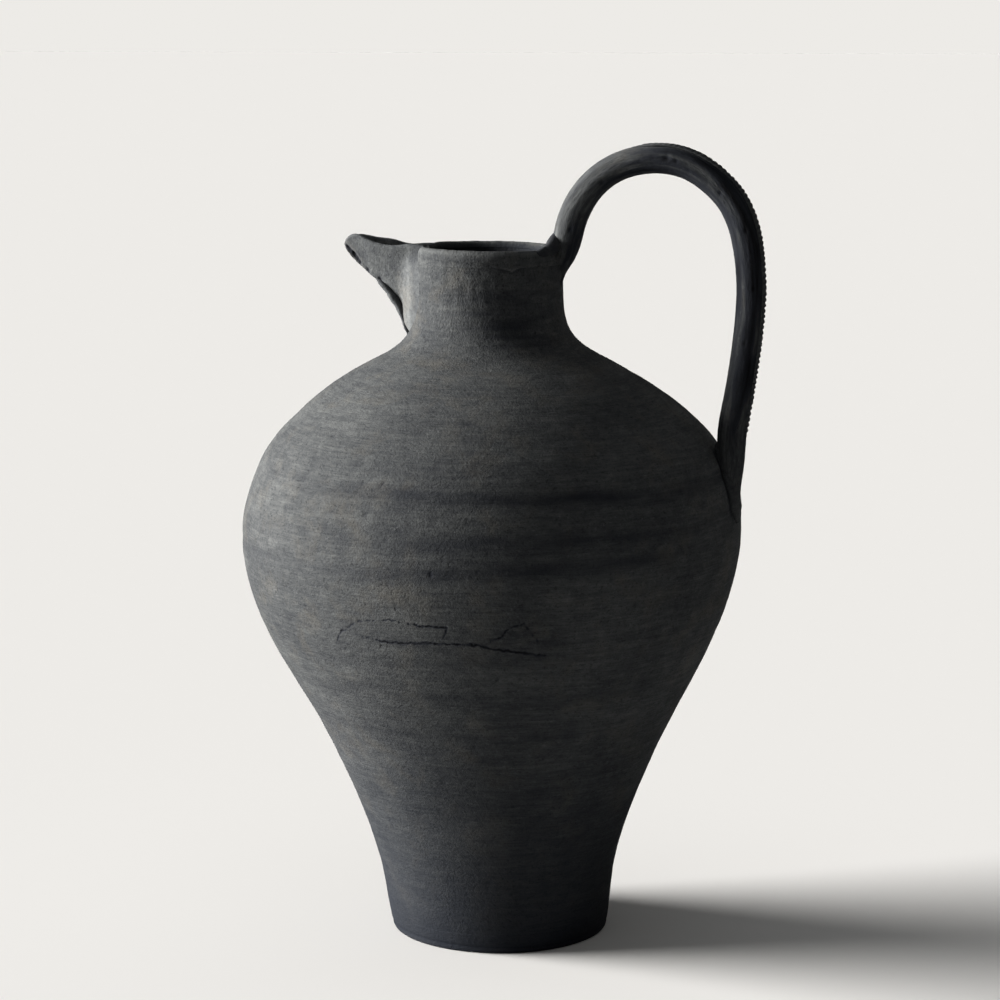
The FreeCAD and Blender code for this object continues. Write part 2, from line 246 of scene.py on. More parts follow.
def make_piece(name, piece, material, nodes):
    """The object for a piece: it rides on the pot and stands for its CAD nodes."""
    mesh = bpy.data.meshes.new(name)
    counts = np.concatenate([np.full(len(f), f.shape[1]) for f in piece.faces])
    corners = np.concatenate([f.ravel() for f in piece.faces])
    mesh.vertices.add(len(piece.points))
    mesh.vertices.foreach_set("co", (piece.points * MM).ravel())
    mesh.loops.add(len(corners))
    mesh.loops.foreach_set("vertex_index", corners)
    mesh.polygons.add(len(counts))
    mesh.polygons.foreach_set("loop_start", np.concatenate([[0], np.cumsum(counts)[:-1]]))
    mesh.polygons.foreach_set("loop_total", counts)
    mesh.update(calc_edges=True)
    mesh.validate()
    flow = mesh.attributes.new("flow", "FLOAT_VECTOR", "POINT")
    flow.data.foreach_set("vector", (piece.flow * MM).ravel())
    tone = mesh.attributes.new("tone", "FLOAT", "POINT")
    tone.data.foreach_set("value", piece.tone.ravel())
    mesh.shade_smooth()
    mesh.set_sharp_from_angle(angle=CREASE)
    if piece.normals is not None:
        given = np.zeros((len(corners), 3))
        given[:len(piece.normals)] = piece.normals
        mesh.normals_split_custom_set(given.tolist())
    mesh.materials.append(material)
    made = placed(name, mesh)
    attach(made, "root")
    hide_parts(*nodes)


# ---- the pot's surface

# Outer outline from foot to lip: height and radius. The joints come from the frame.
OUTLINE = [
    (0, BASE_R - 1.8), (BASE_Z, BASE_R), (30, BASE_R + 3.0), (50, BASE_R + 8.1), (70, WAIST_R - 9.4),
    (WAIST_Z, WAIST_R), (110, FLANK_R - 8.2), (FLANK_Z, FLANK_R), (150, BELLY_R - 9.0), (BELLY_Z, BELLY_R),
    (190, WIDEST_R - 1.5), (WIDEST_Z, WIDEST_R), (220, WIDEST_R - 1.5), (235, WIDEST_R - 5.7),
    (250, SHOULDER_R + 10.6), (SHOULDER_Z, SHOULDER_R), (272, SHOULDER_R - 11.3), (283, NECK_R + 15.4),
    (NECK_Z, NECK_R - 0.6), (299, 47.6), (306, 40.8), (315, RIM_R + 0.6), (328, RIM_R - 0.1), (RIM_Z, RIM_R),
    (LIP_Z, RIM_R),
]
# How far the pot leans towards the handle (+X) at some heights: it is hand-made
LEAN = [(0, 2.6), (BASE_Z, 2.2), (60, 1.2), (FLANK_Z, -0.4), (BELLY_Z, -1.9), (WIDEST_Z, -1.6),
        (250, -0.9), (NECK_Z, -1.8), (320, -3.2), (LIP_Z, -3.0)]
# Shallow turning grooves: height, how far they tilt over half a turn, depth and width
GROOVES = [(254, 1.5, 0.10, 2.6), (238.5, -1.2, 0.26, 2.6), (219.7, 1.8, 0.22, 3.0), (204.5, -1.0, 0.26, 3.4),
           (192, 1.5, 0.08, 3.0), (158, -1.5, 0.12, 4.0), (141, 1.8, 0.10, 3.5), (118, -1.5, 0.12, 4.0),
           (99, 1.2, 0.10, 3.0), (76, -1.0, 0.12, 4.0), (55, 1.0, 0.08, 3.0), (34, -1.0, 0.10, 3.0),
           (266, 1.2, 0.12, 2.6), (275, -1.0, 0.14, 2.6), (284, 1.0, 0.16, 2.6)]

# Darker bands round the pot: height at the front, rise towards the handle, half-width and darkness
DARK_BANDS = [
    (240.2, -2.4, 3.4, 0.85), (218.6, 2.5, 4.6, 0.65), (206.0, 5.0, 4.2, 0.65), (171.0, -0.5, 1.9, 0.4),
    (162.5, 1.5, 5.0, 0.3), (251.5, 1.5, 3.0, 0.25), (142.0, -2.0, 4.5, 0.4), (121.0, 2.0, 3.5, 0.3),
]

outline_knots = np.concatenate([[0], np.cumsum(np.hypot(*np.diff(OUTLINE, axis=0).T))])
outline_curve = natural_spline(outline_knots, OUTLINE)
lean_curve = natural_spline(*zip(*LEAN))
FINE_S = np.linspace(0, outline_knots[-1], 4000)
FINE_Z = outline_curve(FINE_S)[:, 0]


def s_at(z):
    """The length up the outline at a height."""
    return np.interp(z, FINE_Z, FINE_S)


def outline_at(s):
    """Height, radius and outward normal (radial, vertical) of the outline, past its ends too."""
    inside = np.clip(s, 0, outline_knots[-1])
    z, r = np.moveaxis(outline_curve(inside), -1, 0)
    ahead, behind = (outline_curve(np.clip(inside + d, 0, outline_knots[-1])) for d in (0.5, -0.5))
    dz, dr = np.moveaxis(ahead - behind, -1, 0)
    length = np.hypot(dz, dr)
    over = s - inside
    return z + over * dz / length, r + over * dr / length, dz / length, -dr / length


def pot_points(angle, s, depth):
    """Points on the plain pot, depth mm inside its outer face."""
    z, r, out_r, out_z = outline_at(s)
    r, z = r - depth * out_r, z - depth * out_z
    return round_axis(angle, r, z, lean_curve(z))


# Cracks along the joint at the foot of the belly: degrees from the front, height and depth
CRACKS = [
    [(-38.8, 166.0, 0.5), (-37.2, 171.5, 0.6), (-36.0, 173.6, 0.8), (-34.6, 174.5, 0.3), (-31.8, 178.9, 0.4),
     (-28.0, 180.6, 0.5), (-23.4, 181.6, 0.5), (-20.1, 181.1, 0.6), (-15.8, 179.8, 1.0), (-9.6, 179.5, 1.2),
     (-10.0, 176.5, 0.4), (-11.4, 171.8, 0.5)],
    [(-30.9, 171.9, 0.4), (-26.7, 170.9, 0.6), (-23.0, 170.3, 1.1), (-13.8, 171.2, 1.0), (-6.0, 171.4, 0.8),
     (-1.9, 170.6, 1.2), (1.2, 168.6, 1.3), (6.4, 167.5, 1.3), (9.2, 166.1, 1.1), (12.5, 164.9, 0.8)],
    [(-0.6, 171.8, 0.4), (0.6, 173.9, 0.9), (2.5, 175.0, 1.0), (3.4, 178.3, 0.8), (4.9, 180.4, 0.7),
     (7.2, 181.6, 0.9), (8.9, 176.9, 0.8), (10.6, 172.2, 0.6)],
]
CRACK_LOW_Z, CRACK_HIGH_Z = 163.0, 184.0
CRACK_LEFT, CRACK_RIGHT = math.radians(-41), math.radians(15)
# Pits: degrees from the front, height, radius and depth
PITS = [
    (24.6, 186.5, 1.1, 0.5), (26.2, 187.4, 0.8, 0.4), (18.7, 183.9, 0.8, 0.4), (-41.3, 191.4, 1.0, 0.5),
    (-26.3, 245.1, 1.0, 0.4), (-27.2, 243.6, 0.7, 0.4), (-55.0, 228.7, 1.1, 0.5), (-54.2, 226.9, 0.8, 0.4),
    (-13.0, 205.1, 0.9, 0.5), (-2.9, 206.6, 0.7, 0.3), (1.5, 153.2, 0.7, 0.4), (6.8, 153.3, 0.8, 0.4),
    (4.0, 225.5, 0.8, 0.5), (-29.6, 230.7, 0.8, 0.4), (-23.8, 219.7, 0.8, 0.3), (-21.0, 220.5, 0.7, 0.3),
    (-63.0, 214.0, 0.7, 0.3), (38.0, 214.0, 0.7, 0.3), (-70.0, 250.0, 0.8, 0.4), (12.0, 120.0, 0.8, 0.4),
]


def crack_mark(ahead, z, half):
    """How strongly the cracks mark points: fine, broken lines that reach half mm to each side."""
    across = ahead * BELLY_R
    place = np.stack([across, z, 0 * z], -1)
    wander = 0.45 * noise(place, 2.0, 31) + 0.2 * noise(place, 0.9, 32)
    beads = smooth_step(-0.45, 0.35, noise(place, (1.1, 1.6, 1), 33))
    mark = np.zeros(np.shape(z))
    for route in CRACKS:
        route = np.array(route) * [math.radians(1) * BELLY_R, 1, 1]
        for start, end in zip(route[:-1], route[1:]):
            run = end - start
            t = np.clip(((across - start[0]) * run[0] + (z - start[1]) * run[1]) / (run[:2] @ run[:2]), 0, 1)
            gap = np.hypot(across - start[0] - t * run[0], z + wander - start[1] - t * run[1])
            depth = start[2] + t * run[2]
            mark = np.maximum(mark, depth * np.maximum(beads, depth - 0.55) * np.exp(-(gap / half) ** 2))
    return mark


rng = np.random.default_rng(8)
RANDOM_PITS = [(rng.uniform(-180, 180), rng.uniform(20, 285), rng.uniform(0.5, 0.9), rng.uniform(0.15, 0.35))
               for _ in range(70)]

# The torn lower edge of the clay folded over the neck: degrees from the front, and height
NECK_FOLD = [
    (-25, 346.0), (-15.6, 344.7), (1.0, 343.4), (6.9, 341.9), (17.6, 339.8), (27.3, 341.1), (36, 345.0),
]
# The crease round the handle's foot: height, and distance from the handle's plane
FOOT_CREASE = [(214, 9.0), (221, 11.4), (229, 10.6), (236, 8.4), (246, 5.2)]


def collar_relief(angle, z, around):
    """The neck's own marks: the strap smeared down under the handle, a torn fold with painted shadow under
    its edge and a painted highlight along it, painted shadow by the handle's root, and dark brushing.
    """
    from_handle = np.abs(signed_turn(angle - HANDLE_ANGLE))
    strap = smooth_step(math.radians(25), math.radians(20), from_handle) * smooth_step(300, 322, z)
    ahead = np.degrees(ahead_of(angle))
    gap = z - read_off(ahead, NECK_FOLD) + 0.7 * noise(around, 2.6, 15)
    where = smooth_step(-22, -12, ahead) * smooth_step(36, 28, ahead)
    height = 0.7 * strap + 0.7 * where * smooth_step(-0.4, 0.3, gap)
    wrinkled = smooth_step(-45, -30, ahead) * smooth_step(15, 0, ahead) * smooth_step(322, 334, z)
    height += 0.24 * wrinkled * noise(around, (3.0, 3.0, 7.0), 17)
    # The strap is darker; a painted shadow just under the fold's edge and a painted highlight along it
    soot_and_shading = 0.35 * strap + where * (0.8 * bump(gap, -0.8, 0.6) - 0.8 * bump(gap, 0.2, 0.5))
    # Painted shadow below the lip by the handle's root
    soot_and_shading += 1.0 * bump(ahead, 55, 6) * bump(z, 343.5, 4)
    brushed = smooth_step(-36, 2, ahead) * smooth_step(80, 45, ahead)
    brushed *= smooth_step(296, 306, z) * smooth_step(340, 325, z)
    soot_and_shading += brushed * (0.5 + 0.5 * noise(around, (16, 16, 2.4), 16))
    return height, soot_and_shading


def relief(angle, s):
    """How far the real, hand-worked surface stands out from the plain one, and how much darker it is: smoke
    marks, darker bands, painted shade in grooves, creases, cracks and pits, and painted shadow and highlight
    on the neck.
    """
    z, r, _, _ = outline_at(s)
    around = round_axis(angle, r, s)
    upper = smooth_step(285, 325, z)
    height = 0.55 * noise(around, (70, 70, 45), 1) * (1 - 0.5 * upper)
    height += 0.12 * noise(around, (26, 26, 11), 2)
    height += 0.05 * noise(around, (30, 30, 2.6), 3)
    height += 0.035 * noise(around, 3.2, 4)
    height += upper * 0.10 * noise(around, (3.6, 3.6, 4.2), 5)
    soot_and_shading = np.zeros_like(height)
    for at, tilt, depth, width in GROOVES:
        swell = 0.75 + 0.45 * np.sin(angle + at)
        ring = bump(z, at + tilt * np.cos(angle - at), width * (1 + 0.35 * np.sin(2 * angle + at)))
        height -= depth * swell * ring
        # Painted shade in each groove, a little below its middle
        soot_and_shading += 1.0 * depth * swell * bump(z, at + tilt * np.cos(angle - at) - 0.5, width * 1.5)
    uneven = 1 + 0.6 * noise(around, (24, 24, 7), 6) + 0.4 * noise(around, (9, 9, 2.5), 7)
    ahead = ahead_of(angle)
    fading = 0.35 + 0.65 * smooth_step(-0.75, -0.15, ahead) * smooth_step(0.95, 0.3, ahead)
    for at, rise, half, darkness in DARK_BANDS:
        drift = rise * np.sin(ahead) + 1.3 * noise(around, (30, 30, 60), 9)
        soot_and_shading += darkness * fading * uneven * bump(z, at + drift, half)
    # Painted shade in the crease round the handle's foot
    beside = np.abs(around[..., 1]) - read_off(z, FOOT_CREASE)
    foot = bump(beside, 0, 1.6) * smooth_step(212, 224, z) * smooth_step(252, 245, z)
    soot_and_shading += (1.3 + 2.0 * smooth_step(226, 236, z)) * foot * (around[..., 0] > 0)
    if z.max() > NECK_Z:
        collar_height, collar_tone = collar_relief(angle, z, around)
        height += collar_height
        soot_and_shading += collar_tone
    # A thin groove round the foot, darkened with painted shade
    if z.min() < 5:
        rim = bump(z, 3.3 + 0.3 * noise(around, (12, 12, 40), 18), 0.75)
        height -= 0.35 * rim
        soot_and_shading += 0.8 * rim
    near = (z > CRACK_LOW_Z) & (z < CRACK_HIGH_Z) & (ahead > CRACK_LEFT) & (ahead < CRACK_RIGHT)
    if near.any():
        mark = crack_mark(ahead[near], z[near], 0.46)
        height[near] -= 0.28 * mark
        # The cracks are darkened with painted shade
        soot_and_shading[near] += 3.8 * mark
    # The pits are darkened with painted shade
    for degrees, at, radius, depth in PITS + RANDOM_PITS:
        turn = signed_turn(ahead - math.radians(degrees))
        away = (turn * r) ** 2 + (z - at) ** 2
        close = away < 9 * radius ** 2
        height[close] -= depth * np.exp(-away[close] / radius ** 2)
        soot_and_shading[close] += 2.0 * depth * np.exp(-away[close] / radius ** 2)
    return height, soot_and_shading


def plain_columns(radius, cell):
    """Angles all round the pot, about one cell apart at a radius."""
    return spaced(0, 2 * math.pi, cell / radius)[:-1]


def mixed_columns(start, end, fine, cell):
    """Angles all round the pot, closer together from start to end."""
    return np.concatenate([spaced(start, end, fine), spaced(end, start + 2 * math.pi, cell)[1:-1]])


def wall_rows(s_low, s_high, cell, dense_low, dense_high, fine):
    """Lengths up the outline, closer together between two of them."""
    cuts = [s_low] + [c for c in (dense_low, dense_high) if s_low < c < s_high] + [s_high]
    rows = []
    for start, end in zip(cuts[:-1], cuts[1:]):
        inside = dense_low <= (start + end) / 2 <= dense_high
        rows.append(spaced(start, end, fine if inside else cell)[:-1])
    return np.concatenate(rows + [[s_high]])


def skin_points(angle, s):
    """The worked outer surface, and how much darker it is: smoke marks and painted shade."""
    angle, s = np.broadcast_arrays(angle, s)
    height, soot_and_shading = relief(angle, s)
    return pot_points(angle, s, -height), soot_and_shading


def flow_of(angle, s):
    """Coordinates that run round the pot and up its outline, for streaks that follow turning."""
    return round_axis(angle, outline_at(s)[1], s)


def ghost_normals(grid):
    """Unit normals of a grid of points with one spare row at each end, which is left out."""
    across = np.roll(grid, -1, 1) - np.roll(grid, 1, 1)
    normal = np.cross(across[1:-1], grid[2:] - grid[:-2])
    return normal / np.linalg.norm(normal, axis=-1, keepdims=True)


def wall_piece(rows, columns, top=None, inside_shade=INSIDE_SHADE):
    """One course of the wall: worked outside, bevelled joints, turned inside.

    top, if given, is the length up the outline that the course reaches at each column.
    """
    angle = columns[None, :]
    s_low, s_high = rows[0], rows[-1]
    reach = (s_high if top is None else top) - s_low
    share = ((rows - s_low) / (s_high - s_low))[:, None]
    s_outer = s_low + share * reach + 0 * angle
    spare = 0.3
    ghost, soot_and_shading = skin_points(angle, np.concatenate([s_outer[:1] - spare, s_outer, s_outer[-1:] + spare]))
    inner_share = np.linspace(1, 0, max(6, len(rows) // 5))[:, None]
    s_inner = s_low + BEVEL + inner_share * reach + 0 * angle
    around = flow_of(angle, s_inner)
    depth = WALL + 0.35 * noise(around, (60, 60, 5), 12)
    inner = pot_points(angle, s_inner, depth)
    rings = np.concatenate([ghost[1:-1], inner])
    flow = np.concatenate([flow_of(angle, s_outer), around])
    # The inside is darkened with painted shade
    tone = np.concatenate([soot_and_shading[1:-1], np.full(s_inner.shape, inside_shade)])
    piece = ring_piece(rings, flow, tone, wrap=True)
    normals = ghost_normals(ghost)
    quads = closed_faces(len(rows), len(columns), False)
    piece.normals = normals.reshape(-1, 3)[quads].reshape(-1, 3)
    return piece


def grid_normals(rings):
    """Unit normals over rings of points that close on themselves, pointing away from their middles."""
    across = np.roll(rings, -1, 1) - np.roll(rings, 1, 1)
    along = np.gradient(rings, axis=0)
    normal = np.cross(across, along)
    normal /= np.maximum(np.linalg.norm(normal, axis=-1, keepdims=True), 1e-9)
    outward = rings - rings.mean(1, keepdims=True)
    return normal * np.sign((normal * outward).sum(-1).sum())


def raised(rings, height):
    """Rings of points moved out along their normals."""
    return rings + grid_normals(rings) * height[..., None]


def make_base(name):
    """The disc that the pot stands on: flat below, with a rounded edge, and a floor inside."""
    edge, fine_up_to = 1.3, 6
    top = s_at(BASE_Z)
    columns = plain_columns(BASE_R, 1.2)[None, :]
    rounding = edge * np.array([0, 0.06, 0.2, 0.4, 0.7, 1])
    rows = [rounding, spaced(edge, fine_up_to, 0.4)[1:], spaced(fine_up_to, top, 1.1)[1:]]
    rows = np.concatenate(rows)[:, None]
    drawn_in = edge * (1 - np.sqrt(1 - np.clip(1 - rows / edge, 0, 1) ** 2))
    height, soot_and_shading = relief(columns + 0 * rows, rows + 0 * columns)
    height *= smooth_step(0, 3, rows)
    skin = pot_points(columns, rows, drawn_in - height)
    skin[..., 2] = np.maximum(skin[..., 2], 0)
    skin[0, :, 2] = 0
    middle = np.array([lean_curve(0), 0, 0])
    under = [middle + (skin[0] - middle) * share for share in (0.1, 0.3, 0.5, 0.7, 0.85, 0.95)]
    joint = pot_points(columns, top + BEVEL + 0 * columns, WALL)[0]
    # The floor is dished, so it rises to meet the wall
    floor_edge = pot_points(columns, s_at(BASE_Z - 1.4) + 0 * columns, WALL + 1.2)[0]
    centre = middle + [0, 0, BASE_Z - 2]
    floor_rings = [centre + (floor_edge - centre) * [share, share, 1 - (1 - share) ** 2]
                   for share in (1, 0.85, 0.6, 0.3, 0.1)]
    rings = np.stack(under + list(skin) + [joint] + floor_rings)
    # Painted shade inside the pot and, a little less, on its underside
    tone = np.full(rings.shape[:2], INSIDE_SHADE)
    tone[:len(under)] = 0.2
    tone[len(under):len(under) + len(soot_and_shading)] = soot_and_shading
    make_piece(name, ring_piece(rings, rings, tone), pot_clay, [name])


def make_walls():
    """The courses from the base to the shoulder."""
    cracks = s_at(CRACK_LOW_Z), s_at(CRACK_HIGH_Z)
    courses = [
        ("lower_wall", BASE_Z, WAIST_Z, WAIST_R), ("waist_wall", WAIST_Z, FLANK_Z, FLANK_R),
        ("flank_wall", FLANK_Z, BELLY_Z, BELLY_R), ("belly_wall", BELLY_Z, WIDEST_Z, WIDEST_R),
        ("upper_belly_wall", WIDEST_Z, SHOULDER_Z, WIDEST_R),
        ("shoulder_wall", SHOULDER_Z, NECK_Z, SHOULDER_R),
    ]
    for name, low_z, high_z, radius in courses:
        cracked = low_z <= BELLY_Z <= high_z
        columns = plain_columns(radius, 1.3)
        if cracked:
            columns = VIEW + mixed_columns(CRACK_LEFT, CRACK_RIGHT, 0.45 / BELLY_R, 1.9 / BELLY_R)
        rows = wall_rows(s_at(low_z), s_at(high_z), 1.2, *cracks, 0.4)
        make_piece(name, wall_piece(rows, columns), pot_clay, [name])


# ---- neck and lip

# The neck's notch under the spout: where its V starts, and how much it rises for each mm aside
NOTCH_LOW_Z, NOTCH_RISE = 317.0, 2.3
# The clay folded over the lip ends here: degrees from the front, and height above the neck
LIP_FOLD = [(-90, 5.6), (-15.6, 2.6), (1.0, 1.2), (7.0, -0.6), (60, -0.6), (253, 5.6)]


def notch_height(angle):
    """The height that clay round the neck reaches at an angle, with a V left open for the spout."""
    aside = np.sqrt((signed_turn(angle - SPOUT_ANGLE) * RIM_R) ** 2 + 1.5)
    return NOTCH_LOW_Z + NOTCH_RISE * aside


def make_neck(name):
    """The collar: out of the shoulder, in to the neck, and up to the lip."""
    beside = math.radians(30)
    columns = mixed_columns(SPOUT_ANGLE - beside, SPOUT_ANGLE + beside, 0.45 / RIM_R, 0.9 / NECK_R)
    top = s_at(np.minimum(notch_height(columns), RIM_Z))[None, :]
    rows = spaced(s_at(NECK_Z), s_at(RIM_Z), 0.8)
    # The neck's inside gets stronger painted shade
    make_piece(name, wall_piece(rows, columns, top, 1.1), neck_clay, [name])


def make_lip(name):
    """The rounded lip, open where the spout leaves it."""
    near_gap, far_gap, thinning = (math.radians(degrees) for degrees in (17, 12, 17))
    near_drop, far_drop = 1.7, 1.3
    start, end = SPOUT_ANGLE + near_gap, SPOUT_ANGLE + 2 * math.pi - far_gap
    angle = spaced(start, end, 0.5 / RIM_R)[:, None]
    tall = LIP_Z - RIM_Z
    # Round the section, as depth and height: from the joint's middle to its outer edge, over the top, and
    # down to its inner edge
    section = np.array([
        (WALL * 0.5, BEVEL * 0.4), (0.02, 0.02), (-0.15, 1.0), (-0.25, 2.4), (-0.3, 3.8), (-0.05, 5.0),
        (0.55, 6.3), (1.35, 7.3), (2.3, 7.85), (3.2, 7.7), (4.2, 7.0), (5.0, 5.9), (5.4, 5.0)])
    section[:, 1] *= tall / section[:, 1].max()
    turns = np.linspace(0, 1, len(section))
    smooth = natural_spline(turns, section)(np.linspace(0, 1, 44))
    depth, up = smooth[None, :, 0], smooth[None, :, 1]
    around = round_axis(angle, RIM_R, RIM_Z + up)
    over = smooth_step(0.3, 0.9, up / tall)
    wobble = 0.25 * noise(around, (14, 14, 9), 41) + 0.12 * noise(around, (4, 4, 3), 42)
    fine = 0.05 * noise(around, 1.2, 43)
    z = RIM_Z + up + over * (wobble - 0.013 * RIM_R * np.sin(angle)) + fine
    # The rough edge of the clay that was folded over: lower on the handle's side
    edge_up = read_off(np.degrees(angle - VIEW), LIP_FOLD)
    edge_up = edge_up + 0.5 * noise(around[:, :1], 5.0, 44)
    proud = 0.2 * smooth_step(-0.25, 0.25, up - edge_up) * smooth_step(4.5, 3.0, depth)
    # It thins out where the spout's edges take over
    near_end, far_end = smooth_step(0, thinning, angle - start), smooth_step(0, thinning, end - angle)
    full = near_end * far_end
    middle = 2.6
    depth = middle + (depth - middle) * (0.45 + 0.55 * full)
    z = z - (near_drop * (1 - near_end) + far_drop * (1 - far_end)) * over
    r = RIM_R - depth + wobble * 0.5 + proud * full
    rings = round_axis(angle, r, z, lean_curve(LIP_Z))
    # Painted shadow just under the folded edge and a painted highlight along it, a painted highlight along
    # the lip's top, and painted shade on its inner face
    tone = 0.3 * bump(up - edge_up, -0.3, 0.5) - 0.2 * bump(up - edge_up, 0.3, 0.5)
    tone = tone * smooth_step(4.5, 3.0, depth)
    tone = tone - 0.35 * bump(up, 7.0, 1.2) + 1.1 * smooth_step(3.6, 4.8, depth)
    make_piece(name, ring_piece(rings, around, tone), neck_clay, [name])


# ---- spout

# Stations along the fold: its keel (x, z), its top (x, z), half its width outside and inside, how deep the
# channel is, and how much higher its near edge and its far edge stand than the line of its top
SPOUT = [
    (-37.5, 301.0, -35.2, 349.0, 28.0, 12.5, 32.0, 1.6, 1.0),
    (-44.0, 309.5, -40.4, 349.4, 16.2, 10.6, 31.5, 1.7, 0.6),
    (-45.6, 315.8, -44.0, 350.1, 13.1, 9.6, 28.5, 0.5, -0.4),
    (-47.6, 320.6, -47.6, 350.6, 12.4, 8.9, 24.5, -0.15, -0.3),
    (-51.0, 325.0, -51.5, 351.2, 11.6, 8.1, 21.0, -0.3, 0.3),
    (-54.9, 329.3, -55.5, 352.1, 10.6, 7.2, 17.5, -0.35, 0.5),
    (-58.6, 332.3, -59.5, 353.0, 9.4, 6.1, 15.5, -0.1, 0.4),
    (-62.3, 335.2, -63.4, 354.1, 8.0, 4.9, 13.5, 0.3, 0.1),
    (-65.8, 338.4, -67.0, 355.1, 6.6, 3.7, 10.5, 0.6, -0.2),
    (-69.0, 341.5, -70.2, 355.1, 5.2, 2.4, 7.0, 0.5, -0.2),
    (-71.9, 344.6, -72.8, 353.9, 3.9, 1.3, 1.8, 0.2, 0),
    (-73.9, 347.2, -74.3, 352.4, 2.5, 0.5, 0.5, 0, 0),
    (-74.9, 349.2, -75.1, 350.7, 1.0, 0.1, 0.1, 0, 0),
]
# Nicks on the near side under the tip: x, z, radius and depth
SPOUT_NICKS = [
    (-73.6, 348.8, 1.0, 1.0), (-72.4, 347.2, 1.3, 1.5), (-71.0, 345.9, 0.9, 1.2), (-70.1, 344.6, 1.4, 1.8),
    (-68.5, 342.8, 1.1, 1.3), (-67.2, 341.2, 0.9, 1.1), (-63.0, 337.4, 0.9, 0.6), (-56.8, 333.0, 0.9, 0.6),
]
# How many points a section has up its outside, round its edge and down the channel
OUTSIDE_POINTS, EDGE_POINTS, CHANNEL_POINTS = 34, 10, 22


def spout_sections(steps):
    """Rings round the folded sheet: from the keel up the outside, over the edge, down the channel."""
    along = np.linspace(0, len(SPOUT) - 1, steps)
    spout = np.array(SPOUT)
    spout[:, :2], spout[:, 2:4] = turned(spout[:, :2]), turned(spout[:, 2:4])
    values = natural_spline(np.arange(len(SPOUT)), spout)(along).T[..., None]
    keel_x, keel_z, top_x, top_z, half, inside, deep, near_edge, far_edge = values
    tall = np.hypot(top_x - keel_x, top_z - keel_z)
    lip = np.minimum((half - inside) * 0.5, 1.7)
    v = np.linspace(0, 1, OUTSIDE_POINTS)[None, :]
    swell = (v * (v + 0.1) / 1.1) ** (0.33 - 0.19 * smooth_step(3.0, 0, along)[:, None])
    flare = smooth_step(0.72, 1.0, v)
    out_y = half * swell * (1 - flare) + (inside + 2 * lip) * flare * swell
    out_h = v * (tall - lip)
    turn = np.linspace(0, math.pi, EDGE_POINTS + 2)[None, 1:-1]
    edge_y = inside + lip + lip * np.cos(turn)
    edge_h = tall - lip + lip * np.sin(turn)
    w = np.linspace(1, 0, CHANNEL_POINTS)[None, :]
    in_y = inside * np.sqrt(w * (w + 0.12) / 1.12)
    in_h = tall - lip - np.maximum(deep - lip, 0.02) * (1 - w)
    side_y = np.concatenate([out_y, edge_y, in_y], 1)
    side_h = np.concatenate([out_h + 0 * half, edge_h, in_h], 1)
    y = np.concatenate([-side_y, side_y[:, -2:0:-1]], 1)
    h = np.concatenate([side_h, side_h[:, -2:0:-1]], 1) / tall
    x = keel_x + (top_x - keel_x) * h
    z = keel_z + (top_z - keel_z) * h
    z += smooth_step(0.55, 1.0, h) * np.where(y < 0, near_edge, far_edge)
    # Near the neck, each section wraps round it
    wrap = smooth_step(3.2, 0, along)[:, None]
    x += wrap * (RIM_R - np.sqrt(np.maximum(RIM_R ** 2 - y ** 2, 1)))
    return np.stack([x, y, z], -1), along


def make_spout(name):
    """The folded spout: a sheet with a keel, an open channel and nicks under its tip."""
    rings, along = spout_sections(int(120 / COARSE))
    free = smooth_step(0, 1.5, along)[:, None]
    height = free * (0.3 * noise(rings, 11, 51) + 0.12 * noise(rings, 4.5, 52))
    height += 0.04 * noise(rings, 1.6, 53)
    tone = np.zeros(height.shape)
    near = rings[..., 1] < 0
    for x, z, radius, depth in turned(SPOUT_NICKS):
        away = (rings[..., 0] - x) ** 2 + ((rings[..., 2] - z) * 0.7) ** 2
        dent = near * np.exp(-away / radius ** 2)
        height -= depth * dent
        # The nicks are darkened with painted shade
        tone += 1.8 * dent
    top = rings[..., 2].max(1, keepdims=True)
    # Painted shade down in the channel
    hollow = smooth_step(1.0, 6.0, top - rings[..., 2]) * (np.abs(rings[..., 1]) < 7.5)
    channel = np.zeros(rings.shape[1])
    middle, reach = len(channel) // 2, CHANNEL_POINTS - 2
    channel[middle - reach:middle + reach] = 1
    tone += 0.9 * hollow * channel
    # A painted highlight along the line where the spout's sheet leaves the neck; beyond it, towards the neck,
    # the sheet is darker, taking back the spout clay's painted paleness
    root_x = -41.5
    uneven = 1 + 0.6 * noise(rings, 2.0, 54)
    tone -= 0.22 * near * bump(rings[..., 0], root_x, 1.6) * (1 - channel) * uneven
    tone += (0.55 - 0.15 * near) * smooth_step(root_x, root_x + 3, rings[..., 0]) * (1 - channel)
    piece = ring_piece(raised(rings, height), rings, tone, folded=True)
    make_piece(name, piece, spout_clay, [name])


def smooth_all_round(turn, length):
    """The surface of a plain tube: everywhere at its half-sizes."""
    return 1 + 0 * turn * length


